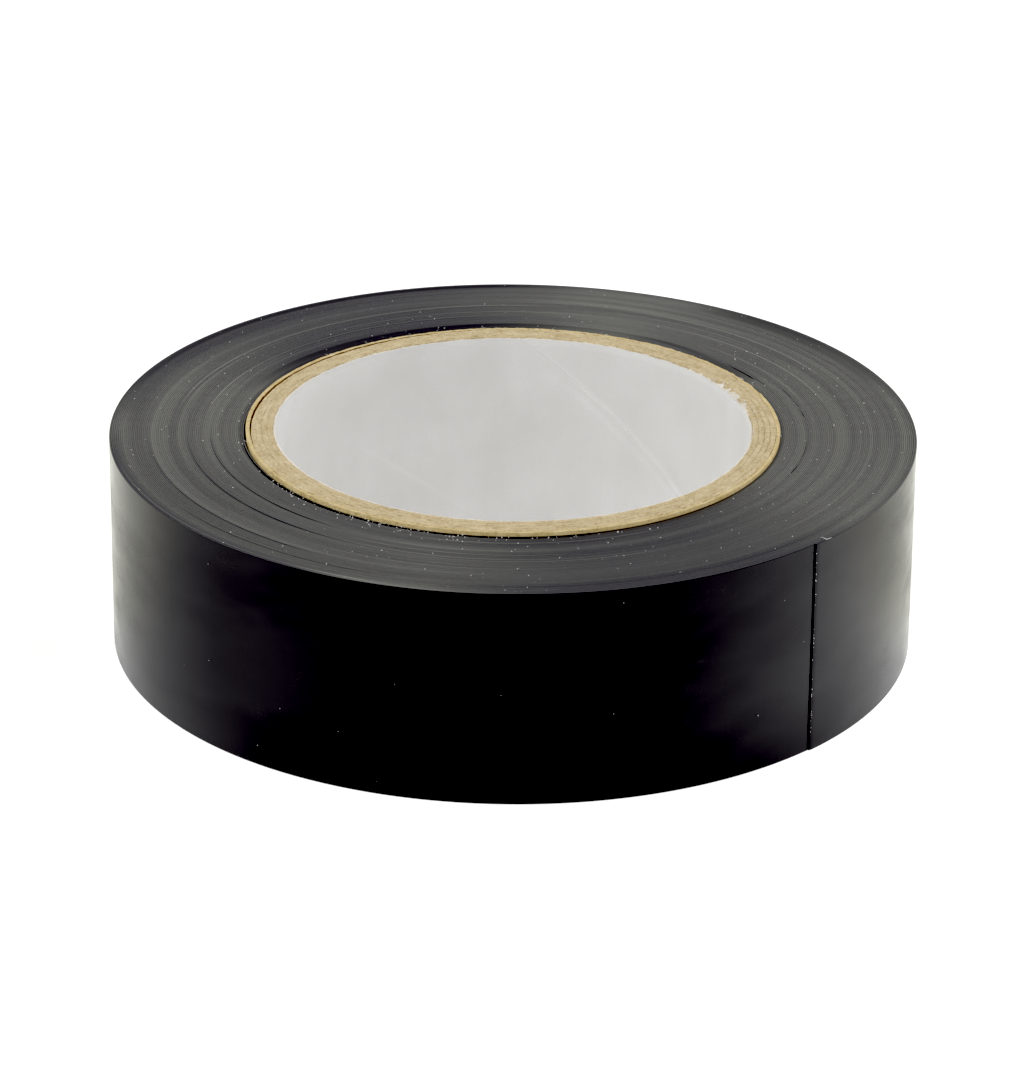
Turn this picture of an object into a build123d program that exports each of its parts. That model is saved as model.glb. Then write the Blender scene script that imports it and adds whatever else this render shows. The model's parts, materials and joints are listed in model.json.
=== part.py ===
from build123d import *

import math
import os

# Roll of electrical tape, lying flat. Millimetres, +Z up along the roll's axis, origin on the axis in the
# plane that the roll lies on. Angles are in degrees, counter-clockwise from +X, seen from above.

# Tape
tape_width = 15.0
film_thickness = 0.11
adhesive_thickness = 0.018
wrap_pitch = 0.13  # film, adhesive and the air caught under them
half_turns = 143  # 71.5 wraps, which is 10.4 m of tape
end_angle = -44.2  # where the cut end of the tape lies

# Core: a paper tube wound from plies, each a strip on a helix whose two edges meet in a slanting seam
bore_diameter = 32.7
core_length = 15.2  # stands 0.2 proud of the tape on the upper side
liner_thickness = 0.15
board_thickness = 0.39
board_plies = 4
outer_ply_thickness = 0.28
glue_line = 0.01
seam_gap = 0.06
seam_twist = 4.63  # degrees of turn in each millimetre of height
first_seam_angle = 18.0  # where the liner's seam meets the lower side
seam_step = 75.0  # from one ply's seam to the next

# Tab: the last length of the outer wrap, which lifts to start the tape. It is film stiff enough to bend in
# a curl, so it is built as short pieces, hinged to one another on the film's outer surface.
tab_length = 25.0
tab_pieces = 5

# Worked out from the above
bore_radius = bore_diameter / 2
half_pitch = wrap_pitch / 2
glue_lines = board_plies + 1
plies_thickness = liner_thickness + board_plies * board_thickness + outer_ply_thickness
core_radius = bore_radius + plies_thickness + glue_lines * glue_line
roll_radius = core_radius + wrap_pitch + half_pitch * (half_turns - 1)
tab_piece_angle = math.degrees(tab_length / tab_pieces / roll_radius)
tab_angle = tab_piece_angle * tab_pieces
centre_shift = Vector(-half_pitch, 0, 0).rotate(Axis.Z, end_angle)
adhesive_depth = film_thickness + adhesive_thickness
outer_wrap_half_turns = range(0, 3)  # the visible wrap, and the stretch of tape that the tab lies on


def band(outer_arcs, inner_arcs):
    """A strip of one thickness stood on its edge: two runs of arcs, closed by a straight cut at each end."""
    first_cut = Line(outer_arcs[0] @ 0, inner_arcs[0] @ 0)
    last_cut = Line(outer_arcs[-1] @ 1, inner_arcs[-1] @ 1)
    outline = Wire([arc.edge() for arc in [*outer_arcs, last_cut, *reversed(inner_arcs), first_cut]])
    return extrude(Face(outline), tape_width, dir=(0, 0, 1))


def half_turn_arc(half_turn, depth, trim):
    """Half a turn of the tape, counted inwards from its cut end.

    The spiral is exact half circles. Every other one is centred half a pitch off the axis, and each is half
    a pitch smaller than the last, so they join smoothly and the tape gains one pitch in every full turn.
    depth is measured inwards from the film's outer surface, and trim is left off the arc's start.
    """
    centre = centre_shift if half_turn % 2 else Vector(0, 0, 0)
    radius = roll_radius - half_pitch * half_turn - depth
    start = end_angle + 180 * (half_turn % 2) + trim
    return CenterArc(centre, radius, start, 180 - trim)


def one_turn(first_half_turn, depth):
    """The area inside one full turn of the tape. Its two half circles end one pitch apart, at a small step."""
    arcs = [half_turn_arc(first_half_turn + n, depth, 0) for n in range(2)]
    step = Line(arcs[1] @ 1, arcs[0] @ 0)
    return Face(Wire([arc.edge() for arc in [*arcs, step]]))


def wound_mass():
    """The wraps between the core and the outer wrap.

    They are stuck face to face under tension and leave no room between them, so they are one solid ring.
    Its outside and its bore are the spiral's own turns, each with the step where a turn passes its start.
    """
    outside = one_turn(len(outer_wrap_half_turns), 0)
    inside = one_turn(half_turns - 2, adhesive_depth)
    return extrude(outside - inside, tape_width, dir=(0, 0, 1))


def outer_wrap(top, bottom):
    """The tape from the tab's root inwards, between two depths below the film's outer surface."""

    def run(depth):
        return [half_turn_arc(n, depth, tab_angle if n == 0 else 0) for n in outer_wrap_half_turns]

    return band(run(top), run(bottom))


def tab_strip(piece, top, bottom):
    """One short piece of the tab, numbered from its root to the cut end of the tape."""
    start = end_angle + tab_piece_angle * (tab_pieces - piece)

    def run(depth):
        return [CenterArc((0, 0, 0), roll_radius - depth, start, tab_piece_angle)]

    return band(run(top), run(bottom))


def core_ply(inner_radius, thickness, seam_angle):
    """One ply of the core: a ring, cut through by a thin helical slot where the strip's edges meet."""
    ring = extrude(Circle(inner_radius + thickness) - Circle(inner_radius), core_length)
    mid_radius = inner_radius + thickness / 2
    slot_section = Pos(mid_radius, 0) * Rectangle(3 * thickness, seam_gap)
    slot = Solid.extrude_linear_with_rotation(
        slot_section.face(),
        center=(0, 0, 0),
        normal=(0, 0, core_length),
        angle=seam_twist * core_length,
    )
    return ring - slot.rotate(Axis.Z, seam_angle)


def core_parts():
    """The core's plies from the bore outwards: a white liner, grey board, and a kraft ply on the outside."""
    names = ["core_inner_liner", *(f"core_board_{n + 1}" for n in range(board_plies)), "core_outer_ply"]
    thicknesses = [liner_thickness, *[board_thickness] * board_plies, outer_ply_thickness]
    parts = {}
    radius = bore_radius
    for number, (name, thickness) in enumerate(zip(names, thicknesses)):
        parts[name] = core_ply(radius, thickness, first_seam_angle + seam_step * number)
        radius += thickness + glue_line
    return parts


def tape_parts():
    """The tape: film with adhesive on its inner side, wound on the core and ending in the tab."""
    parts = {
        "wound_tape": wound_mass(),
        "outer_wrap_film": outer_wrap(0, film_thickness),
        "outer_wrap_adhesive": outer_wrap(film_thickness, adhesive_depth),
    }
    for piece in range(1, tab_pieces + 1):
        parts[f"tab_film_{piece}"] = tab_strip(piece, 0, film_thickness)
        parts[f"tab_adhesive_{piece}"] = tab_strip(piece, film_thickness, adhesive_depth)
    return parts


os.makedirs("parts", exist_ok=True)
for name, part in {**core_parts(), **tape_parts()}.items():
    export_step(part, f"parts/{name}.step")

# The tab's hinges, for the record: where each piece of the tab turns on the one before it
for piece in range(1, tab_pieces + 1):
    hinge_angle = math.radians(end_angle + tab_piece_angle * (tab_pieces - piece + 1))
    hinge_x = roll_radius * math.cos(hinge_angle)
    hinge_y = roll_radius * math.sin(hinge_angle)
    print(f"tab hinge {piece}: x {hinge_x:.5f} y {hinge_y:.5f}")
print(f"roll radius {roll_radius:.4f}, core radius {core_radius:.4f}, tab piece {tab_piece_angle:.4f} degrees")
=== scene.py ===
"""A roll of black vinyl electrical tape on a wound paper core, lying flat on a pale floor.

Metres, +Z up along the roll's axis. Angles are counter-clockwise from +X, seen from above. The tape is one
strip on a spiral, so a place on it is a number of turns, counted inwards from its cut end.
"""

import json
from math import cos, pi, radians, sin

import bpy
import numpy as np
from mathutils import Matrix, Vector


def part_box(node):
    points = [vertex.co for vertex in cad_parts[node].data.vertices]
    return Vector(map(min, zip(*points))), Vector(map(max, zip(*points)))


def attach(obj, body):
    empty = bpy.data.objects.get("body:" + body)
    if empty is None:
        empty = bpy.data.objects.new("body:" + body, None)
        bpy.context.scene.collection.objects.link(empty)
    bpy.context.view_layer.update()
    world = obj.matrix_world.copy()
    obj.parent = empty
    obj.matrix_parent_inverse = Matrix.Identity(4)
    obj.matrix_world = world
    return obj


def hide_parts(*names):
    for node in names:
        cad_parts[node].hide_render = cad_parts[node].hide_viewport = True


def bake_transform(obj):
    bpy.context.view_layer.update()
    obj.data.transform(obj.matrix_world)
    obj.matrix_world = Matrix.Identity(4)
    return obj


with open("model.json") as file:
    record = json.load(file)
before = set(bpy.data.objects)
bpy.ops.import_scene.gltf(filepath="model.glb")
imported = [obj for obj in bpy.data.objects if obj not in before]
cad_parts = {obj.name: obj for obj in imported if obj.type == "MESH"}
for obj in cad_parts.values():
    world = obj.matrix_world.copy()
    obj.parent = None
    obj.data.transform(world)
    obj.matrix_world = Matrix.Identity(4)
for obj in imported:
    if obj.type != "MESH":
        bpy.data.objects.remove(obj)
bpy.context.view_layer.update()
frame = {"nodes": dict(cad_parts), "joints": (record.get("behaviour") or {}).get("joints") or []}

mm = 0.001
full_turn = 2 * pi


# ---------------------------------------------------------------- sizes and places, from the frame


def wall_radii(node):
    """The smallest and largest distance of a CAD node's corners from the roll's axis."""
    corners = np.array([v.co for v in frame["nodes"][node].data.vertices])
    reach = np.hypot(corners[:, 0], corners[:, 1])
    return float(reach.min()), float(reach.max())


tape_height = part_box("wound_tape")[1].z
core_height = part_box("core_inner_liner")[1].z
liner_radius = wall_radii("core_inner_liner")[1]
core_radius = wall_radii("core_outer_ply")[1]
film_inside, roll_radius = wall_radii("tab_film_1")
film_thickness = roll_radius - film_inside
adhesive_thickness = film_inside - wall_radii("tab_adhesive_1")[0]

wrap_pitch = 0.13 * mm
half_pitch = wrap_pitch / 2
half_turns = 1 + round((roll_radius - wrap_pitch - core_radius) / half_pitch)
wound_turns = half_turns / 2

# The tab's hinges, from its root to its cut end, as angles round the roll
hinge_angles = [float(np.arctan2(j["pos_m"][1], j["pos_m"][0])) for j in frame["joints"]]
tab_piece_angle = hinge_angles[0] - hinge_angles[1]
end_angle = hinge_angles[-1] - tab_piece_angle
tab_bodies = [j["child"] for j in frame["joints"]]
outer_wrap_turns = 1.5

# The core's plies meet in helical seams
seam_twist = radians(4.63) / mm
first_seam_angle = radians(18)
seam_step = radians(75)
seam_gap = 0.06 * mm
half_glue_line = (wall_radii("core_board_1")[0] - liner_radius) / 2


# ---------------------------------------------------------------- shapes


def smooth_noise(x, y, seed, period=256):
    """Random heights from -1 to 1 at every whole x and y, eased between them; x repeats after a period."""
    heights = np.random.default_rng(seed).uniform(-1, 1, (256, 256))
    x, y = np.broadcast_arrays(x, y)
    left, low = np.floor(x).astype(int), np.floor(y).astype(int)
    across, up = x - left, y - low
    across, up = across * across * (3 - 2 * across), up * up * (3 - 2 * up)
    a, b = left % period % 256, (left + 1) % period % 256
    c, d = low % 256, (low + 1) % 256
    under = heights[a, c] * (1 - across) + heights[b, c] * across
    over = heights[a, d] * (1 - across) + heights[b, d] * across
    return under * (1 - up) + over * up


def window(angle, middle, half_width, fade):
    """1 within half_width of an angle, easing to 0 over the next fade. Angles in degrees, any turn."""
    away = np.abs((np.degrees(angle) - middle + 180) % 360 - 180)
    t = np.clip((half_width + fade - away) / fade, 0, 1)
    return t * t * (3 - 2 * t)


def bell(distance, width):
    """1 at no distance, falling off on both sides: e to the power of minus (distance over width) squared."""
    return np.exp(-(distance / width) ** 2)


def spiral(turns, depth):
    """x and y of the wound strip at a number of turns, at a depth under the film's outer surface.

    Each half turn is a half circle. Its radius is half a pitch less than the last one's, and every second
    centre lies half a pitch off the axis, so the halves join smoothly.
    """
    half = np.clip(np.floor(2 * turns + 1e-9), 0, half_turns - 1)
    angle = end_angle + full_turn * turns
    radius = roll_radius - half_pitch * half - depth
    shift = -half_pitch * (half % 2)
    return radius * np.cos(angle) + shift * cos(end_angle), radius * np.sin(angle) + shift * sin(end_angle)


def put_mesh(name, points, quads, caps=(), slots=None, smooth=True, **numbers):
    """A mesh from corner points, four-sided faces, many-sided caps, slots by face and numbers by corner.

    If most faces look towards the origin, every face is turned round.
    """
    points = np.asarray(points, np.float64).reshape(-1, 3)
    a, b, c, d = (points[quads[:, n]] for n in range(4))
    if (np.cross(b - a, c - a) * (a + b + c)).sum() + (np.cross(c - a, d - a) * (a + c + d)).sum() < 0:
        quads, caps = quads[:, ::-1], [cap[::-1] for cap in caps]
    corners = np.concatenate([quads.ravel(), *caps]).astype(np.int32)
    sizes = np.array([4] * len(quads) + [len(cap) for cap in caps])
    mesh = bpy.data.meshes.new(name)
    mesh.vertices.add(len(points))
    mesh.vertices.foreach_set("co", points.astype(np.float32).ravel())
    mesh.loops.add(len(corners))
    mesh.loops.foreach_set("vertex_index", corners)
    mesh.polygons.add(len(sizes))
    mesh.polygons.foreach_set("loop_start", (np.cumsum(sizes) - sizes).astype(np.int32))
    mesh.polygons.foreach_set("use_smooth", smooth & (np.arange(len(sizes)) < len(quads)))
    if slots is not None:
        mesh.polygons.foreach_set("material_index", np.asarray(slots, np.int32))
    for key, values in numbers.items():
        layer = mesh.attributes.new(key, "FLOAT", "POINT")
        layer.data.foreach_set("value", np.broadcast_to(values, len(points)).astype(np.float32))
    mesh.update(calc_edges=True)
    piece = bpy.data.objects.new(name, mesh)
    bpy.context.scene.collection.objects.link(piece)
    return piece


def closed_strip(name, points, section_slots, end_slot=0, smooth=True, **numbers):
    """A solid bar from points[along, round the section, xyz]: quads between sections, a cap at each end."""
    along, round_ = points.shape[:2]
    index = np.arange(along * round_).reshape(along, round_)
    near, far = index[:-1], index[1:]
    quads = np.stack([near, np.roll(near, -1, 1), np.roll(far, -1, 1), far], -1).reshape(-1, 4)
    slots = np.concatenate([np.tile(section_slots, along - 1), [end_slot, end_slot]])
    flat = {key: np.broadcast_to(value, (along, round_)).ravel() for key, value in numbers.items()}
    return put_mesh(name, points, quads, [index[0][::-1], index[-1]], slots, smooth, **flat)


# ---------------------------------------------------------------- finishes


class Socket:
    """One output of a material's node. Arithmetic on it adds Math nodes."""

    def __init__(self, finish, output):
        self.finish, self.output = finish, output

    def maths(self, operation, first, second):
        return self.finish.node("ShaderNodeMath", {"operation": operation}, {0: first, 1: second})

    def __add__(self, other):
        return self.maths("ADD", self, other)

    def __sub__(self, other):
        return self.maths("SUBTRACT", self, other)

    def __rsub__(self, other):
        return self.maths("SUBTRACT", other, self)

    def __mul__(self, other):
        return self.maths("MULTIPLY", self, other)

    def __pow__(self, other):
        return self.maths("POWER", self, other)

    __radd__, __rmul__ = __add__, __mul__


class Finish:
    """A material: a Principled surface, and the nodes that vary it."""

    def __init__(self, name, roughness, **constants):
        self.material = bpy.data.materials.new(name)
        self.material.use_nodes = True
        self.tree = self.material.node_tree
        self.surface = self.tree.nodes["Principled BSDF"]
        for socket, value in {"Roughness": roughness, **constants}.items():
            self.surface.inputs[socket.replace("_", " ")].default_value = value

    def node(self, kind, settings, inputs, output=0):
        """A node of a kind, with its settings made first, then its sockets' values or links."""
        made = self.tree.nodes.new(kind)
        for key, value in settings.items():
            if key == "stops":
                for n, (place, colour) in enumerate(value):
                    ramp = made.color_ramp.elements
                    stop = ramp[n] if n < len(ramp) else ramp.new(place)
                    stop.position, stop.color = place, colour
            else:
                setattr(made, key, value)
        for key, value in inputs.items():
            if isinstance(value, Socket):
                self.tree.links.new(value.output, made.inputs[key])
            else:
                made.inputs[key].default_value = value
        return Socket(self, made.outputs[output])

    def number(self, name):
        """A number that the mesh carries at each corner."""
        return self.node("ShaderNodeAttribute", {"attribute_name": name}, {}, "Fac")

    def at(self, x, y, z=0.0):
        return self.node("ShaderNodeCombineXYZ", {}, {0: x, 1: y, 2: z})

    def object_place(self):
        return self.node("ShaderNodeTexCoord", {}, {}, "Object")

    def noise(self, place, scale=1.0, detail=2.0, roughness=0.5):
        inputs = {"Vector": place, "Scale": scale, "Detail": detail, "Roughness": roughness}
        return self.node("ShaderNodeTexNoise", {}, inputs, "Fac")

    def step(self, value, low, high, to_low=0.0, to_high=1.0):
        """The value's place between low and high, eased, taken to between to_low and to_high."""
        inputs = {"Value": value, "From Min": low, "From Max": high, "To Min": to_low, "To Max": to_high}
        return self.node("ShaderNodeMapRange", {"interpolation_type": "SMOOTHSTEP"}, inputs)

    def ramp(self, value, stops):
        return self.node("ShaderNodeValToRGB", {"stops": stops}, {"Fac": value})

    def blend(self, amount, first, second, how="MIX"):
        """Two colours mixed by an amount."""
        settings = {"data_type": "RGBA", "blend_type": how, "clamp_factor": True}
        return self.node("ShaderNodeMix", settings, {0: amount, 6: first, 7: second}, 2)

    def bump(self, height, distance, strength=1.0):
        """Relief on the surface. height runs from 0 to 1 over the distance."""
        inputs = {"Height": height, "Distance": distance, "Strength": strength}
        self.paint("Normal", self.node("ShaderNodeBump", {}, inputs))

    def paint(self, socket, value):
        self.tree.links.new(value.output, self.surface.inputs[socket])


def grey(value, red=1.0, green=1.0, blue=1.0):
    return (value * red, value * green, value * blue, 1.0)


def film_face_finish():
    """The film's broad face: glossy black vinyl, with cross ribs, smudges, scuffs and a slanting bloom."""
    film = Finish("vinyl_face", 0.2, IOR=1.45, Coat_Roughness=0.28, Coat_IOR=1.5)
    along, height = film.number("along_mm"), film.number("height_mm")
    smudge = film.noise(film.at(along * 0.12, height * 0.25), detail=4.0, roughness=0.6)
    slanting = film.at(along * 0.05 + height * 0.1, height * 0.16 - along * 0.05, 4.0)
    bloom = film.noise(slanting, detail=3.0, roughness=0.55)
    ribs = film.noise(film.at(along * 2.2, height * 0.05), detail=3.0)
    crossing = film.at(along * 0.5 + height * 0.9, height * 2.5 - along * 0.6)
    scuffs = film.noise(crossing, detail=5.0, roughness=0.7)
    dulled = film.step(smudge, 0.3, 0.75, 0.15, 0.3)
    film.paint("Roughness", dulled + film.step(scuffs, 0.58, 0.75, 0.0, 0.12))
    film.paint("Coat Weight", film.step(bloom, 0.36, 0.6, 0.0, 0.1))
    worn = film.step(scuffs, 0.6, 0.8, 0.0, 0.5)
    film.paint("Base Color", film.blend(worn, grey(0.006, 1, 1, 1.1), grey(0.02)))
    film.bump(ribs * 0.7 + smudge * 0.3, 0.006 * mm, 0.6)
    return film.material


def film_edge_finish():
    """The film's slit edge: grey where the blade whitened it, and different on every wrap; its tone also
    carries painted shade and painted highlights.
    """
    edge = Finish("vinyl_slit_edge", 0.45, IOR=1.5)
    turns, along, tone = edge.number("turns"), edge.number("along_mm"), edge.number("tone")
    grain = edge.noise(edge.object_place(), scale=7000.0, detail=2.0)
    drag = edge.noise(edge.at(along * 0.9, turns * 3.0), detail=3.0, roughness=0.7)
    flecks = edge.noise(edge.at(along * 1.9, turns * 5.0), detail=2.0)
    shade = tone * 0.75 + grain * 0.13 + drag * 0.12
    dark, plain, pale = grey(0.012, 1, 0.95, 1.3), grey(0.07, 1.0, 1.01, 0.94), grey(0.2, 1.0, 1.02, 0.88)
    colour = edge.ramp(shade, [(0.1, dark), (0.5, plain), (0.95, pale)])
    edge.paint("Base Color", edge.blend(edge.step(flecks, 0.72, 0.8), colour, grey(0.22)))
    edge.paint("Roughness", edge.step(tone, 0.2, 0.8, 0.36, 0.5))
    edge.bump(grain, 0.006 * mm, 0.4)
    return edge.material


def adhesive_finish():
    """Rubber adhesive: black, tacky and uneven."""
    adhesive = Finish("black_adhesive", 0.55, IOR=1.48)
    beads = adhesive.noise(adhesive.object_place(), scale=5000.0, detail=3.0)
    adhesive.paint("Base Color", adhesive.ramp(beads, [(0.3, grey(0.006)), (0.8, grey(0.022))]))
    adhesive.paint("Roughness", adhesive.step(beads, 0.3, 0.7, 0.4, 0.7))
    adhesive.bump(beads, 0.02 * mm, 0.6)
    return adhesive.material


def board_finish(name, pale, mid, dark, seed):
    """Cut paperboard: short fibres, softer clouds of pulp and a few darker flecks."""
    board = Finish(name, 0.85, IOR=1.4, Specular_IOR_Level=0.3)
    along, across, height = board.number("along_mm"), board.number("radius_mm"), board.number("height_mm")
    lengthwise = board.at(along * 7.5 + seed, across * 12.0, height * 11.0)
    fibres = board.noise(lengthwise, detail=4.0, roughness=0.7)
    pulp = board.noise(board.at(along * 3.2, across * 4.5 + seed, height * 4.0), detail=3.0, roughness=0.6)
    cloud = board.noise(board.at(along * 0.6, across * 1.6, seed), detail=2.0)
    tone = fibres * 0.45 + pulp * 0.3 + cloud * 0.25
    colour = board.ramp(tone, [(0.36, dark), (0.49, mid), (0.62, pale)])
    flecks = board.step(board.noise(board.at(along * 8.0, across * 12.0, seed + 3.0), detail=2.0), 0.68, 0.78)
    board.paint("Base Color", board.blend(flecks * 0.5, colour, grey(0.16, 1.1, 0.9, 0.65)))
    board.bump(fibres * 0.6 + pulp * 0.4, 0.05 * mm, 0.8)
    return board.material


def liner_finish():
    """The bore's white liner paper: smooth, faintly mottled, and paler along its seam."""
    liner = Finish("liner_paper", 0.62, IOR=1.45)
    along, height, seam = liner.number("along_mm"), liner.number("height_mm"), liner.number("seam")
    mottle = liner.noise(liner.at(along * 0.25, height * 0.2), detail=3.0, roughness=0.5)
    grain = liner.noise(liner.at(along * 9.0 - height * 7.0, height * 9.0), detail=3.0)
    tone = mottle * 0.5 + grain * 0.5 + seam * 0.2
    dull, plain, pale = grey(0.6, 1, 0.99, 0.965), grey(0.66, 1, 0.995, 0.975), grey(0.84, 1, 1, 0.985)
    liner.paint("Base Color", liner.ramp(tone, [(0.3, dull), (0.6, plain), (0.95, pale)]))
    liner.bump(grain * 0.3 + seam * 0.7, 0.02 * mm, 0.6)
    return liner.material


def glue_finish():
    """The plies' walls, stained brown by the glue between them."""
    glue = Finish("glue_stain", 0.75, IOR=1.45)
    stain = glue.noise(glue.at(glue.number("along_mm") * 1.5, glue.number("height_mm") * 2.0), detail=3.0)
    thick, thin = (0.12, 0.065, 0.02, 1), (0.3, 0.18, 0.065, 1)
    glue.paint("Base Color", glue.ramp(stain, [(0.35, thick), (0.7, thin)]))
    return glue.material


film_face, film_edge, black_adhesive = film_face_finish(), film_edge_finish(), adhesive_finish()
white_liner, glue_stain = liner_finish(), glue_finish()
grey_board = board_finish(
    "core_board", grey(0.58, 1, 0.86, 0.6), grey(0.47, 1, 0.825, 0.52), grey(0.3, 1, 0.78, 0.44), 1.0)
kraft = board_finish(
    "kraft_ply", grey(0.6, 1, 0.85, 0.53), grey(0.5, 1, 0.81, 0.45), grey(0.34, 1, 0.75, 0.36), 9.0)
cut_liner = board_finish(
    "cut_liner", grey(0.7, 1, 0.96, 0.88), grey(0.62, 1, 0.94, 0.83), grey(0.48, 1, 0.9, 0.74), 5.0)


# ---------------------------------------------------------------- the tape


# Wraps that stand a little proud, with a painted highlight on their edges: wrap counted inwards, angle, half
# width, fade, rise
proud_wraps = [
    (33, 128, 28, 25, 0.013), (34, 120, 18, 20, 0.007), (49, 131, 26, 22, 0.012), (43, 100, 12, 20, 0.009),
    (36, 150, 10, 14, 0.006), (55, 140, 10, 12, 0.006), (29, 47, 12, 14, 0.010), (22, 27, 12, 12, 0.006),
    (42, 36, 14, 14, 0.008), (26, 66, 10, 10, 0.006), (53, 31, 10, 10, 0.006), (35, 58, 10, 10, 0.007),
    (41, -96, 18, 14, 0.009), (61, -84, 14, 14, 0.009), (38, -80, 8, 10, 0.006), (46, -100, 14, 10, 0.008),
    (51, -98, 10, 10, 0.006), (29, -104, 12, 12, 0.005), (2, -136, 20, 12, 0.016)]

# Ledges, where the wraps farther in stand higher and ease back: turns, angle, half width, fade, rise, wraps
ledges = [
    (53.6, -150, 16, 16, 0.046, 7), (41.2, -147, 14, 18, 0.040, 8), (20.8, -147, 16, 16, 0.036, 9),
    (31.3, -158, 8, 12, 0.016, 5), (12.5, -128, 12, 12, 0.022, 6), (14.0, 28, 22, 18, 0.026, 8)]

# Single wraps that have slipped down and left a crack: wrap, angle, half width, fade, drop
slipped_wraps = [
    (57, 19, 1, 1.5, 0.11), (57, 14, 0.6, 1, 0.09), (57, 10, 1.4, 1.5, 0.12), (57, -8, 1.4, 1.5, 0.08),
    (57, -13, 0.5, 1, 0.08), (57, -20, 1, 1.5, 0.08), (64, 33, 2, 4, 0.08), (63, 27, 1, 2, 0.08)]

# Bands of wraps whose slit edges lean: first and last turn, angle, half width, fade, rise of the outer corner
leaning_bands = [
    (0, 6, 130, 34, 26, 0.040), (0, 12, 38, 12, 18, 0.042), (60, 72, 104, 40, 30, 0.050),
    (64, 72, 48, 14, 16, 0.050), (60, 72, -135, 30, 25, -0.014), (0, 2.2, -137, 26, 18, 0.024),
    (0, 3, -75, 25, 20, -0.012)]

# Painted shade and painted highlights on the slit edges: bands of wraps made darker or paler by their angle
# round the roll, in place of the edges' sheen and the shade by the rims: first and last turn, ease, angle,
# half width, fade, change.
# A band from before_first to past_last takes in every wrap.
before_first, past_last = -9, 99
painted_light_bands = [
    (before_first, past_last, 1, 0, 60, 60, 0.08), (before_first, past_last, 1, 175, 25, 40, 0.08),
    (before_first, past_last, 1, 293, 8, 32, -0.43), (before_first, past_last, 1, 121, 10, 36, -0.47),
    (before_first, past_last, 1, 222, 14, 26, -0.11), (before_first, past_last, 1, 46, 5, 16, -0.12),
    (before_first, past_last, 1, 75, 4, 10, 0.05), (before_first, 10, 6, 124, 26, 24, -0.34),
    (before_first, 16, 6, 148, 16, 18, -0.42), (before_first, 14, 5, 292, 22, 14, -0.28),
    (before_first, 8, 5, 214, 20, 16, -0.6), (before_first, 4, 3, 255, 8, 10, 0.24),
    (before_first, 5, 4, 0, 180, 1, -0.08), (45, past_last, 8, 116, 22, 26, -0.22),
    (58, past_last, 8, 292, 26, 20, -0.12), (50, past_last, 8, 240, 25, 25, -0.10),
    (before_first, 11, 5, 36, 12, 14, -0.28), (57, past_last, 6, 46, 9, 12, -0.24),
    (28, 37, 3, 118, 24, 20, 0.16)]


def on_wrap(turns, wrap, middle, half_width, fade):
    """1 on one wrap within half_width of an angle, easing to 0 over the next fade, and 0 on other wraps."""
    passing = wrap + (radians(middle) - end_angle) % full_turn / full_turn
    return (np.abs(turns - passing) < 0.5) * window(end_angle + full_turn * turns, middle, half_width, fade)


def in_band(turns, first, last, ease):
    """1 between two numbers of turns, falling evenly to 0 at both of them over an ease."""
    return np.clip((turns - first) / ease, 0, 1) * np.clip((last - turns) / ease, 0, 1)


def edge_heights(turns, upper):
    """How far the slit edge stands from the tape's nominal side, at its outer and its inner corner.

    The side is nearly flush: slow waves over many wraps, a little wander of each wrap, and the named places.
    The edge leans as the slit leaned, so its outer corner stands higher or lower than its inner one.
    """
    angle = end_angle + full_turn * turns
    seed = 10 if upper else 40
    fifths = angle / full_turn * 5
    uneven = 0.35 + 0.65 * window(angle, -95, 55, 40)
    wave = 0.012 * smooth_noise(fifths, turns * 0.16, seed, 5)
    wave = wave + 0.003 * smooth_noise(turns * 2.9, 0.5, seed + 1)
    lean = 0.004 * uneven * smooth_noise(fifths * 2, turns * 0.45, seed + 2, 10)
    lean = lean + 0.002 * smooth_noise(turns * 6.1, 0.5, seed + 3)
    if upper:
        fray = smooth_noise(turns * 170, 0.5, seed + 4)
        for wrap, *place, rise in proud_wraps:
            wave = wave + rise * on_wrap(turns, wrap, *place)
        for foot, *place, rise, wraps in ledges:
            ease = np.clip(1 - (turns - foot) / wraps, 0, 1) * (turns > foot)
            wave = wave + rise * (0.75 + 0.25 * fray) * ease * window(angle, *place)
        for wrap, *place, drop in slipped_wraps:
            wave = wave - drop * on_wrap(turns, wrap, *place) * np.clip(0.7 + fray, 0, 1)
        for first, last, *place, rise in leaning_bands:
            lean = lean + rise / 2 * in_band(turns, first, last, 2) * window(angle, *place)
        from_core = wound_turns - turns
        rim = 0.025 * np.clip(2.4 - turns, 0, 1) * window(angle, 222, 30, 20)
        groove = 0.22 * window(angle, 236, 34, 26) * (0.65 + 0.35 * fray)
        wave = wave + rim - groove * np.clip((3.4 - from_core) / 1.2, 0, 1) * (from_core > 1)
        wave = wave - 0.06 * np.clip(1 - from_core / 3, 0, 1)
    return (wave + lean) * mm, (wave - lean) * mm


def edge_tone(turns):
    """How pale the slit edge is, from 0 up: each wrap its own, and on top painted shade and painted
    highlights: bands by angle, paler proud wraps, and darker ledge feet and wraps by the core.
    """
    angle = end_angle + full_turn * turns
    quarters = angle / full_turn * 4
    tone = 0.56 + 0.12 * smooth_noise(turns * 2.3, 0.5, 90)
    tone = tone + 0.12 * smooth_noise(quarters, turns * 0.3, 91, 4)
    # Painted shade and painted highlights by angle round the roll.
    for first, last, ease, *place, change in painted_light_bands:
        tone = tone + change * in_band(turns, first, last, ease) * window(angle, *place)
    # Painted highlight: the proud wraps' edges are made paler.
    for wrap, *place, rise in proud_wraps:
        tone = tone + 36 * rise * on_wrap(turns, wrap, *place)
    # Painted shade: each ledge's foot is made darker.
    for foot, *place, rise, wraps in ledges:
        tone = tone - 9 * rise * bell(turns - foot, 0.8) * window(angle, *place)
    # Painted shade: the last wraps by the core are made darker.
    return np.clip(tone - 0.25 * np.clip(1 - (wound_turns - turns) / 2.5, 0, 1), 0, 1.2)


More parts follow.
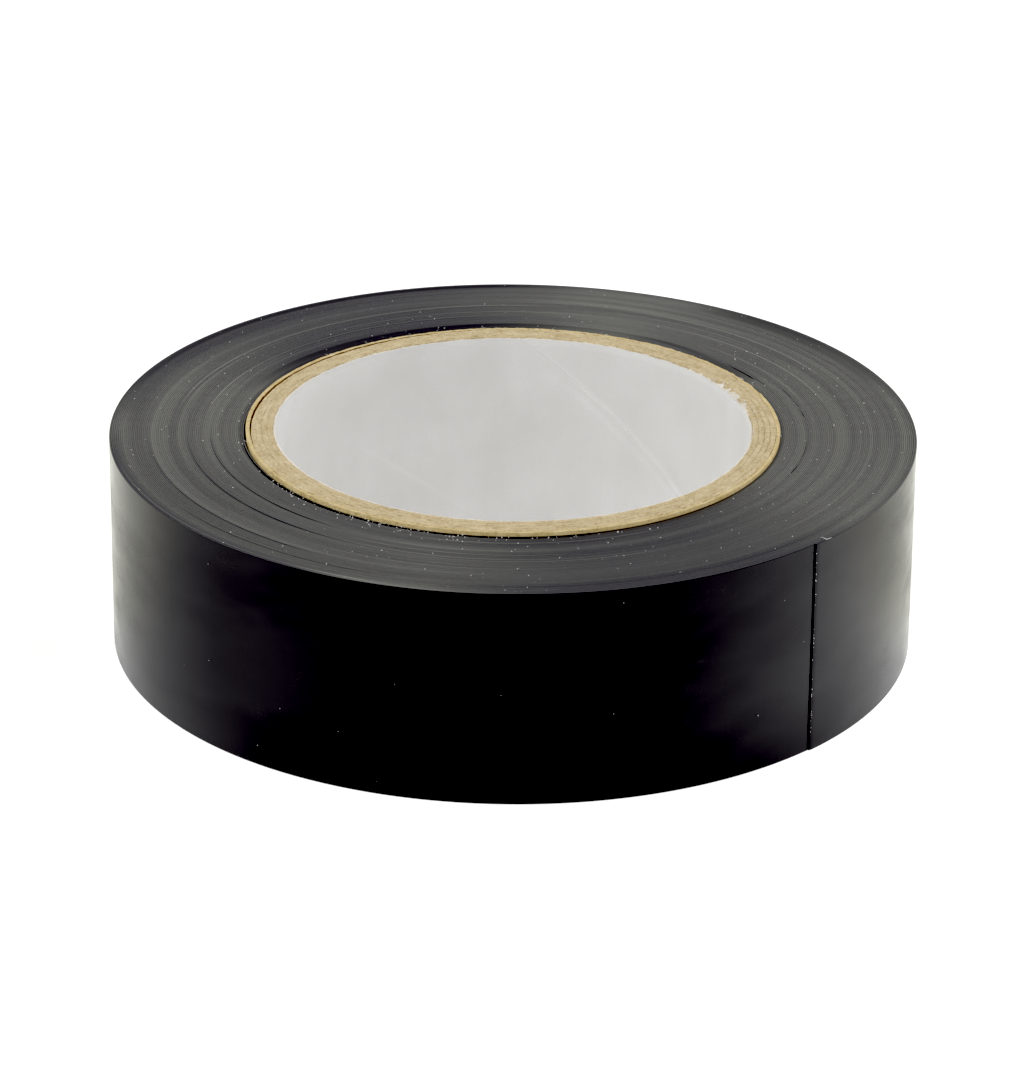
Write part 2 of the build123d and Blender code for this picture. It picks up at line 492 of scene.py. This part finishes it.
def strip_section(turns, rows, wall_shift):
    """The film's outline at each place along it, as (depth, height) pairs round the section.

    It runs up the outer face in a number of rows, over the upper edge, down the inner face, and back under.
    The blade pinched the film thinner at its cut end: the face sinks as the square of the way into the pinch.
    """
    corner = 0.008 * mm
    pinch_length, pinch_depth = 0.35 * mm, 0.035 * mm
    top_out, top_in = (tape_height + height for height in edge_heights(turns, True))
    low_out, low_in = (np.abs(height) for height in edge_heights(turns, False))
    climb = np.linspace(0, 1, rows + 1)
    if rows > 1:
        climb = np.concatenate([[0, 0.004], climb[1:-1], [0.996, 1]])
    outer_z = (low_out + corner)[:, None] + climb * (top_out - low_out - 2 * corner)[:, None]
    inner_z = (low_in + corner)[:, None] + climb[::-1] * (top_in - low_in - 2 * corner)[:, None]
    pinched = pinch_depth * np.clip(1 - turns * full_turn * roll_radius / pinch_length, 0, 1) ** 2
    outer_depth = wall_shift(turns[:, None], outer_z) + pinched[:, None]
    inner_depth = wall_shift(turns[:, None], inner_z) + film_thickness
    over, under = np.stack([top_out, top_in], 1), np.stack([low_in, low_out], 1)
    corners = np.array([corner, film_thickness - corner])
    depth = [outer_depth, corners + outer_depth[:, -1:], inner_depth, corners[::-1] + outer_depth[:, :1]]
    height = [outer_z, over, inner_z, under]
    face, edge = [0] * (len(climb) - 1), [1] * 3
    return np.concatenate(depth, 1), np.concatenate(height, 1), face + edge + face + edge


def film_strip(name, turns, rows, wall_shift):
    """A length of film as a solid strip on its spiral, at each of the given turns."""
    depth, height, slots = strip_section(turns, rows, wall_shift)
    x, y = spiral(turns[:, None], depth)
    points = np.stack([x, y, height], -1)
    along = (turns * full_turn * roll_radius / mm)[:, None]
    piece = closed_strip(name, points, slots, 1, rows > 1, turns=turns[:, None], along_mm=along,
                         height_mm=height / mm, tone=edge_tone(turns)[:, None])
    piece.data.materials.append(film_face)
    piece.data.materials.append(film_edge)
    return piece


def adhesive_strip(name, turns, wall_shift):
    """The adhesive on the film's inner side: a thin strip that stops short of both slit edges."""
    inset = 0.018 * mm
    low, high = inset + 0.0 * turns, tape_height + np.minimum(*edge_heights(turns, True)) - inset
    height = np.stack([low, high, high, low], 1)
    depth = film_thickness + np.array([0, 0, 1, 1]) * adhesive_thickness + wall_shift(turns[:, None], height)
    x, y = spiral(turns[:, None], depth)
    piece = closed_strip(name, np.stack([x, y, height], -1), [0] * 4)
    piece.data.materials.append(black_adhesive)
    return piece


def flat_wall(turns, height):
    """No shift: the wraps inside the roll lie true."""
    return 0.0 * turns * height


def rippled_wall(turns, height):
    """The outer wrap's small ripples: faint ribs across the tape, and slow swells."""
    arc = turns * full_turn * roll_radius
    ribs = 0.0015 * mm * smooth_noise(arc / (1.3 * mm), height / (9 * mm), 70)
    swells = 0.004 * mm * smooth_noise(arc / (7 * mm), height / (6 * mm), 71)
    return ribs + swells


def turns_between(first, last, each_degrees):
    """Places on the strip some degrees apart, and one very close to each end, which keeps the end crisp."""
    crisp = 0.00002
    places = np.linspace(first, last, 1 + round((last - first) * 360 / each_degrees))
    return np.concatenate([[first, first + crisp], places[1:-1], [last - crisp, last]])


def make_wound_tape():
    """The wraps under the outer one: a single strip of film and one of adhesive, all the way to the core."""
    last = wound_turns - 0.001
    film = film_strip("wound_film", turns_between(outer_wrap_turns, last, 2.5), 1, flat_wall)
    glue = adhesive_strip("wound_adhesive", turns_between(outer_wrap_turns, last, 4.0), flat_wall)
    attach(film, "roll")
    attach(glue, "roll")
    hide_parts("wound_tape")


def make_outer_wrap_and_tab():
    """The outer wrap on the roll, then the tab: a piece across each hinge, and the free end past them."""
    piece_turns = tab_piece_angle / full_turn
    root_turns = (len(tab_bodies) + 0.5) * piece_turns
    for kind, cad, make in (("film", "tab_film", film_strip), ("adhesive", "tab_adhesive", adhesive_strip)):
        rows = (14,) if kind == "film" else ()

        def strip(name, first, last, each_degrees):
            return make(name, turns_between(first, last, each_degrees), *rows, rippled_wall)

        wrap = strip(f"outer_wrap_{kind}_strip", root_turns, outer_wrap_turns, 1.0)
        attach(wrap, "roll")
        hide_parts(f"outer_wrap_{kind}")
        for number, body in enumerate(tab_bodies, 1):
            last = (len(tab_bodies) - number + 1.5) * piece_turns
            bend = strip(f"tab_{kind}_bend_{number}", last - piece_turns, last, 0.4)
            around(last)
            around(last - piece_turns)
            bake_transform(bend)
            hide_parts(f"{cad}_{number}")
        end = strip(f"tab_{kind}_end", 0.0, piece_turns / 2, 0.25)
        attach(end, tab_bodies[-1])


def around(turns):
    """The point on the strip's outer face at a number of turns, half way up."""
    x, y = spiral(np.array(turns), 0.0)
    return (float(x), float(y), tape_height / 2)


make_wound_tape()
make_outer_wrap_and_tab()


# ---------------------------------------------------------------- the core


def seam_lines(u, up, angle, inner):
    """How strongly seams show on a ply's inner wall, from 0, at angles u round from its own seam.

    Each line is a bell curve of the arc's length from it in mm: the strip's two sides, the lap beside them,
    and the next ply's seam, which shows through low down.
    """
    from_first_side = u * inner / mm
    from_last_side = (full_turn - u) * inner / mm
    seams = bell(from_first_side, 0.2) + bell(from_last_side, 0.35) + 0.45 * bell(from_first_side - 1.3, 0.5)
    from_next_seam = ((u - seam_step + pi) % full_turn - pi) * inner / mm
    under = bell(from_next_seam, 0.3) * bell(up - 0.33, 0.16)
    return seams * (0.2 + 0.8 * window(angle, 55, 14, 14)) + 0.5 * under


def core_ply(name, node, number, finishes, rows, rim_drop, parted):
    """One ply of the tube: a strip of paper wound once round, whose two sides meet in a helical seam.

    A point is at an angle u round from the seam and a height z, and the seam's own angle grows with z, so the
    whole ply is sheared by the twist. The rims are torn a little, and rise and fall along the arc. The glue
    holds the ply against its neighbours, except at one side, where it shows as fine lines. parted is how far
    the outer wall has come away from the next ply at the top, as a function of the angle. The finishes are
    the inner wall's, the outer wall's and the rims'.
    """
    inner, outer = wall_radii(node)
    gap = seam_gap / 12 / outer
    u = np.linspace(gap / 2, full_turn - gap / 2, 1441)[:, None]
    steps = np.array([0.0, 0.1, 0.35, 0.65, 0.9, 1.0])
    climb = np.linspace(0, 1, rows + 1)[1:-1]
    across = np.concatenate([climb * 0 + 1, 1 - steps, climb * 0, steps])
    up = np.concatenate([climb, steps * 0 + 1, climb[::-1], steps * 0])
    top, bottom = up == 1, up == 0
    angle = first_seam_angle + seam_step * number + seam_twist * core_height * up + u
    arc = angle * core_radius / mm
    torn = 0.5 * smooth_noise(arc * 1.9, across * 2 + 5 * number, 80)
    torn = torn + 0.5 * smooth_noise(arc * 6.3, across * 3 + 5 * number, 81)
    rounded = 4 * across * (1 - across) - 1
    lined_side = window(angle, -4, 18, 16)
    rim = 0.026 * mm * torn + 0.022 * mm * rounded * (0.12 + lined_side)
    height = core_height * up + bottom * 0.012 * mm * (torn + 1) + top * (rim - rim_drop(angle, arc))
    near_top = np.clip(up - 0.8, 0, 1) * 5
    towards_glue = (inner > liner_radius) * (across - 1) + (outer < core_radius) * across
    touching = half_glue_line * (1 - lined_side) * towards_glue
    radius = inner + (outer - inner) * across + touching - near_top * across * parted(angle)
    radius = radius + (across < 0.2) * top * 0.02 * mm * smooth_noise(arc * 3.1, 5.0 * number, 82)
    if number == 0:
        ragged = np.clip(0.6 + smooth_noise(arc * 2.3, 7.0, 84), 0, 1)
        torn_over = window(angle, 24, 9, 12) * ragged * top * (across > 0.3)
        radius = radius + 0.32 * mm * torn_over * across
        height = height + 0.09 * mm * torn_over
    frayed = window(angle, 42, 16, 18) * (outer == core_radius) * (across > 0.8) * near_top
    radius = radius + 0.05 * mm * frayed * smooth_noise(arc * 2.7, 3.0, 83)
    points = [radius * np.cos(angle), radius * np.sin(angle), np.broadcast_to(height, angle.shape)]
    on_rim = (top & np.roll(top, -1)) | (bottom & np.roll(bottom, -1))
    slots = np.where(on_rim, 2, np.where(across == 1, 1, 0))
    ply = closed_strip(name, np.stack(points, -1), slots, 2, True, along_mm=arc, radius_mm=radius / mm,
                       height_mm=height / mm, seam=seam_lines(u, up, angle, inner))
    for finish in finishes:
        ply.data.materials.append(finish)
    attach(ply, "roll")
    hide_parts(node)
    return ply


def make_core():
    """The tube: white liner, four board plies and a kraft ply that has come unglued at one side."""
    def glued(angle):
        return 0.0 * angle

    def unglued(angle):
        return 0.2 * mm * window(angle, 146, 20, 34) * (0.85 + 0.15 * smooth_noise(angle * 30, 0.5, 90))

    def liner_drop(angle, arc):
        ragged = 0.03 + 0.05 * window(angle, 20, 20, 20)
        return mm * ragged * (1 + smooth_noise(arc * 1.3, 0.5, 92) + 0.6 * smooth_noise(arc * 4.1, 0.5, 93))

    def level(angle, arc):
        return 0.0 * arc

    liner_sides = (white_liner, cut_liner, cut_liner)
    liner = core_ply("core_liner", "core_inner_liner", 0, liner_sides, 24, liner_drop, glued)
    for number in range(1, 5):
        parted, outside = (unglued, glue_stain) if number == 4 else (glued, grey_board)
        board_sides = (grey_board, outside, grey_board)
        name, node = f"core_board_ply_{number}", f"core_board_{number}"
        board = core_ply(name, node, number, board_sides, 16, level, parted)
    kraft_sides = (glue_stain, kraft, kraft)
    outer = core_ply("core_kraft_ply", "core_outer_ply", 5, kraft_sides, 16, level, glued)


make_core()


# ---------------------------------------------------------------- lint


def lint_finish():
    """Paper fibres and slitting dust: white to straw-coloured."""
    lint = Finish("paper_lint", 0.85, IOR=1.4)
    shade = lint.noise(lint.object_place(), scale=2500.0)
    lint.paint("Base Color", lint.ramp(shade, [(0.35, grey(0.5, 1, 0.95, 0.86)), (0.6, grey(0.8))]))
    return lint.material


paper_lint = lint_finish()


def put_fibres(name, paths, widths, body):
    """Loose fibres on a body, from paths[fibre, along, xyz]: four-sided tubes, tapered to both ends."""
    fibres, along = paths.shape[:2]
    forward = np.gradient(paths, axis=1)
    aside = np.cross(forward, (0.13, 0.29, 0.95))
    aside = aside / np.linalg.norm(aside, axis=-1, keepdims=True)
    lift = np.cross(aside, forward)
    lift = lift / np.linalg.norm(lift, axis=-1, keepdims=True)
    taper = 0.25 + 0.75 * np.sin(pi * np.linspace(0, 1, along))
    half = (widths[:, None] * taper / 2)[:, :, None]
    sides = [paths + half * aside, paths + half * lift, paths - half * aside, paths - half * lift]
    index = np.arange(fibres * along * 4).reshape(fibres, along, 4)
    near, far = index[:, :-1], index[:, 1:]
    quads = np.stack([near, np.roll(near, -1, 2), np.roll(far, -1, 2), far], -1).reshape(-1, 4)
    caps = [ring for fibre in index for ring in (fibre[0][::-1], fibre[-1])]
    lint = put_mesh(name, np.stack(sides, 2), quads, caps, None, False)
    lint.data.materials.append(paper_lint)
    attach(lint, body)


def curled(radius, angle, height, length, seed, climb=0.0):
    """Paths of short curled fibres that start at a radius, angle and height, one for each value given."""
    draw = np.random.default_rng(seed)
    heading = draw.uniform(0, full_turn, len(radius))[:, None]
    curl = draw.uniform(-1.6, 1.6, len(radius))[:, None]
    t = np.linspace(0, 1, 7)[None]
    x = (radius * np.cos(angle))[:, None] + length[:, None] * t * np.cos(heading + curl * t)
    y = (radius * np.sin(angle))[:, None] + length[:, None] * t * np.sin(heading + curl * t)
    return np.stack([x, y, height[:, None] + climb * length[:, None] * t * (1 - 0.5 * t)], -1)


def specks(radius, angle, height, size, seed, upright=False):
    """Paths of dust specks: each a very short thick fibre, lying on the face or against the wall."""
    draw = np.random.default_rng(seed)
    heading = draw.uniform(0, full_turn, len(radius))[:, None]
    t = np.linspace(-0.5, 0.5, 4)[None] * size[:, None]
    centre = np.stack([radius * np.cos(angle), radius * np.sin(angle), height], -1)[:, None]
    round_ = np.stack([-np.sin(angle), np.cos(angle), 0 * angle], -1)[:, None]
    out = np.stack([np.cos(angle), np.sin(angle), 0 * angle], -1)[:, None]
    second = np.array([0, 0, 1.0]) if upright else out
    return centre + (t * np.cos(heading))[..., None] * round_ + (t * np.sin(heading))[..., None] * second


def make_lint():
    """Paper dust on the slit face, by the core and on the wall, and a few fibres torn from the core's rim."""
    draw = np.random.default_rng(20)
    on_face = tape_height + 0.006 * mm

    def between(low, high, count):
        return draw.uniform(low, high, count)

    count = 260
    size = between(0.035, 0.1, count) * mm
    radius, angle = between(18.9, 27.5, count) * mm, between(0, full_turn, count)
    put_fibres("dust_on_face", specks(radius, angle, on_face + 0 * size, size, 21), size * 0.8, "roll")

    count = 130
    size = between(0.05, 0.13, count) * mm
    angle = radians(-108) + draw.normal(0, radians(30), count)
    radius = (18.55 + np.abs(draw.normal(0, 0.5, count))) * mm
    put_fibres("dust_by_core", specks(radius, angle, on_face + 0 * size, size, 22), size * 0.8, "roll")

    count = 55
    size = between(0.03, 0.075, count) * mm
    radius = roll_radius + 0.006 * mm + 0 * size
    angle, height = between(radians(8), radians(314), count), between(0.6, 14.4, count) * mm
    put_fibres("dust_on_wall", specks(radius, angle, height, size, 23, True), size * 0.6, "roll")

    count = 30
    radius, angle = between(16.3, 16.9, count) * mm, radians(19) + draw.normal(0, radians(8), count)
    height, length = core_height + between(0, 0.02, count) * mm, between(0.25, 0.7, count) * mm
    torn = curled(radius, angle, height, length, 24, 0.3)
    put_fibres("torn_liner_fibres", torn, between(0.018, 0.032, count) * mm, "roll")

    count = 40
    radius, angle = between(17.9, 18.7, count) * mm, between(0, full_turn, count)
    height, length = core_height + 0 * between(0, 1, count), between(0.2, 0.6, count) * mm
    hairs = curled(radius, angle, height, length, 25, 0.2)
    put_fibres("core_rim_hairs", hairs, between(0.012, 0.025, count) * mm, "roll")

    count = 34
    size = between(0.03, 0.1, count) * mm
    radius = roll_radius - 0.02 * mm + 0 * size
    angle, height = end_angle + np.abs(draw.normal(0, 0.0035, count)), between(0.5, 14.6, count) * mm
    cut = specks(radius, angle, height, size, 27, True)
    put_fibres("dust_on_cut_end", cut, size * 0.7, tab_bodies[-1])

    count = 3
    radius = np.full(count, roll_radius - 0.05 * mm)
    angle = end_angle + radians(1.2) + between(0, 0.03, count)
    height, length = tape_height + 0.01 * mm + 0 * between(0, 1, count), between(0.3, 0.6, count) * mm
    ends = curled(radius, angle, height, length, 26, 0.2)
    put_fibres("lint_on_tab", ends, np.full(count, 0.03) * mm, tab_bodies[-1])


make_lint()


# ---------------------------------------------------------------- floor, light and camera


def make_floor():
    """A plain pale floor that glows softly under the roll.

    The glossy wall mirrors the floor near it, so the glow eases up and down from one side of the roll to
    another: a product of eased steps in x and y gives each side's share.
    """
    reach = 0.6
    corners = [(-reach, -reach), (reach, -reach), (reach, reach), (-reach, reach)]
    floor = put_mesh("floor", [(x, y, -0.05 * mm) for x, y in corners], np.array([[0, 1, 2, 3]]))
    paper = Finish("lit_floor", 0.9, IOR=1.3, Base_Color=grey(0.4), Emission_Color=grey(1.0),
                   Emission_Strength=0.75)
    place = paper.object_place()
    x = paper.node("ShaderNodeSeparateXYZ", {}, {0: place}, "X")
    y = paper.node("ShaderNodeSeparateXYZ", {}, {0: place}, "Y")
    away = (x * x + y * y) ** 0.5
    front = 1 - paper.step(y, -0.010, 0.010)
    right = paper.step(x, 0.01, 0.03) * paper.step(y, -0.044, -0.019)
    right = right * paper.step(y, -0.008, 0.008, 1.0, 0.12) * paper.step(away, 0.028, 0.034, 0.5, 1.0)
    left = paper.step(x, -0.034, -0.02, 1.0, 0.0) * front
    near_left = paper.step(x, -0.032, -0.02, 1.0, 0.0) * paper.step(y, -0.03, -0.018, 1.0, 0.0)
    sides = paper.step(x, 0.022, 0.034) + paper.step(x, -0.034, -0.022, 1.0, 0.0)
    sides = sides * paper.step(y, -0.012, 0.004)
    glow = 1.03 + front * 0.08 + right * 0.5 - left * 0.3 + near_left * 0.26
    blue = glow * (1 - sides * 0.13)
    paper.paint("Emission Color", paper.node("ShaderNodeCombineColor", {}, {0: glow, 1: glow, 2: blue}))
    floor.data.materials.append(paper.material)


def softbox(name, azimuth, elevation, distance, size, power):
    """A square area light that faces the roll from a direction."""
    light = bpy.data.lights.new(name, "AREA")
    light.shape, light.size, light.energy = "SQUARE", size, power
    lamp = bpy.data.objects.new(name, light)
    bpy.context.scene.collection.objects.link(lamp)
    towards = Vector((cos(azimuth) * cos(elevation), sin(azimuth) * cos(elevation), sin(elevation)))
    lamp.location = towards * distance
    lamp.rotation_euler = towards.to_track_quat("Z", "Y").to_euler()


def light_scene():
    """An even white tent, brighter at the right, and a soft light overhead from the left."""
    world = bpy.data.worlds.new("white_tent")
    world.use_nodes = True
    world.node_tree.nodes["Background"].inputs["Color"].default_value = grey(1.0)
    world.node_tree.nodes["Background"].inputs["Strength"].default_value = 1.0
    bpy.context.scene.world = world
    softbox("overhead", radians(180), radians(55), 0.8, 0.5, 1.6)
    softbox("right", radians(28), radians(18), 0.6, 0.35, 0.7)
    deepest_black = (0.0622, 0.0638, 0.0617)
    view = bpy.context.scene.view_settings
    view.view_transform = "Standard"
    view.use_curve_mapping = True
    view.curve_mapping.black_level = deepest_black
    view.curve_mapping.update()


def place_camera():
    """A long lens from the front, looking down at the roll, aimed a little below its middle."""
    lens = bpy.data.cameras.new("camera")
    lens.lens, lens.sensor_width = 164.2, 36.0
    lens.clip_start, lens.clip_end = 0.01, 10.0
    camera = bpy.data.objects.new("camera", lens)
    bpy.context.scene.collection.objects.link(camera)
    elevation, tilt, roll = radians(22.53), radians(-1.32), radians(-0.50)
    distance = 12.27 * roll_radius
    camera.matrix_world = (
        Matrix.Translation((0, -distance * cos(elevation), tape_height + distance * sin(elevation)))
        @ Matrix.Rotation(pi / 2 - elevation + tilt, 4, "X") @ Matrix.Rotation(-roll, 4, "Z"))
    bpy.context.scene.camera = camera


make_floor()
light_scene()
place_camera()
